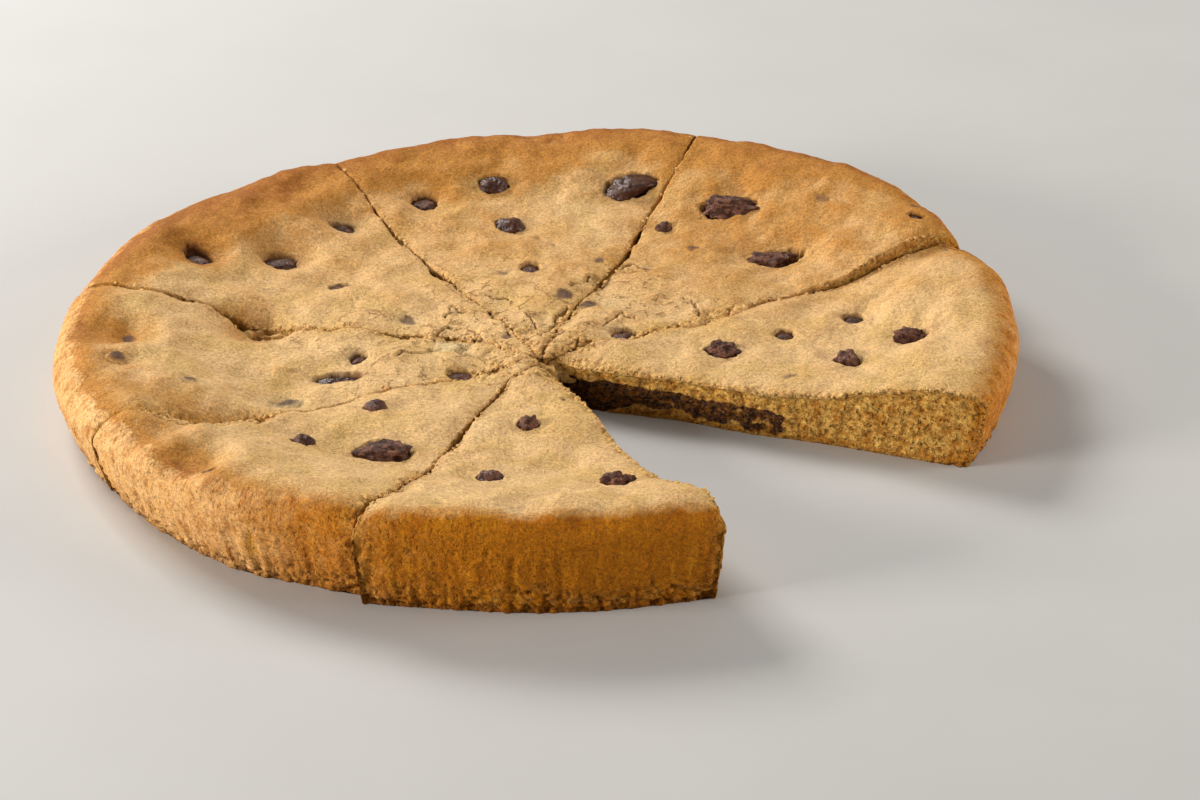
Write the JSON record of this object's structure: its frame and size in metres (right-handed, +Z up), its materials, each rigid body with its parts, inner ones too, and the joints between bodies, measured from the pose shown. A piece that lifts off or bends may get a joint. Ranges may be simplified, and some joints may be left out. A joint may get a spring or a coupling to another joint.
{
  "type": "chocolate chip cookie",
  "caption": "Large round deep chocolate chip cookie with a raised browned rim, cut into wedges with one wedge taken out.",
  "frame": {"origin": "middle of the base of the whole round", "axes": "+Z up, -Y towards the front, where the missing wedge lies between front and right"},
  "size_m": [0.2304, 0.227, 0.0248],
  "materials": {
    "baked_dough": "matte, grainy golden tan baked dough, browner at the rim and orange brown on the outer wall",
    "chocolate": "dark chocolate chips and chunks, matte where they broke through the crust and glossy where melted"
  },
  "bodies": {
    "root": {"slice_back": "baked_dough", "slice_back_left": "baked_dough", "slice_left": "baked_dough", "slice_front_left": "baked_dough", "slice_front": "baked_dough", "slice_right": "baked_dough", "slice_back_right": "baked_dough"}
  },
  "joints": []
}
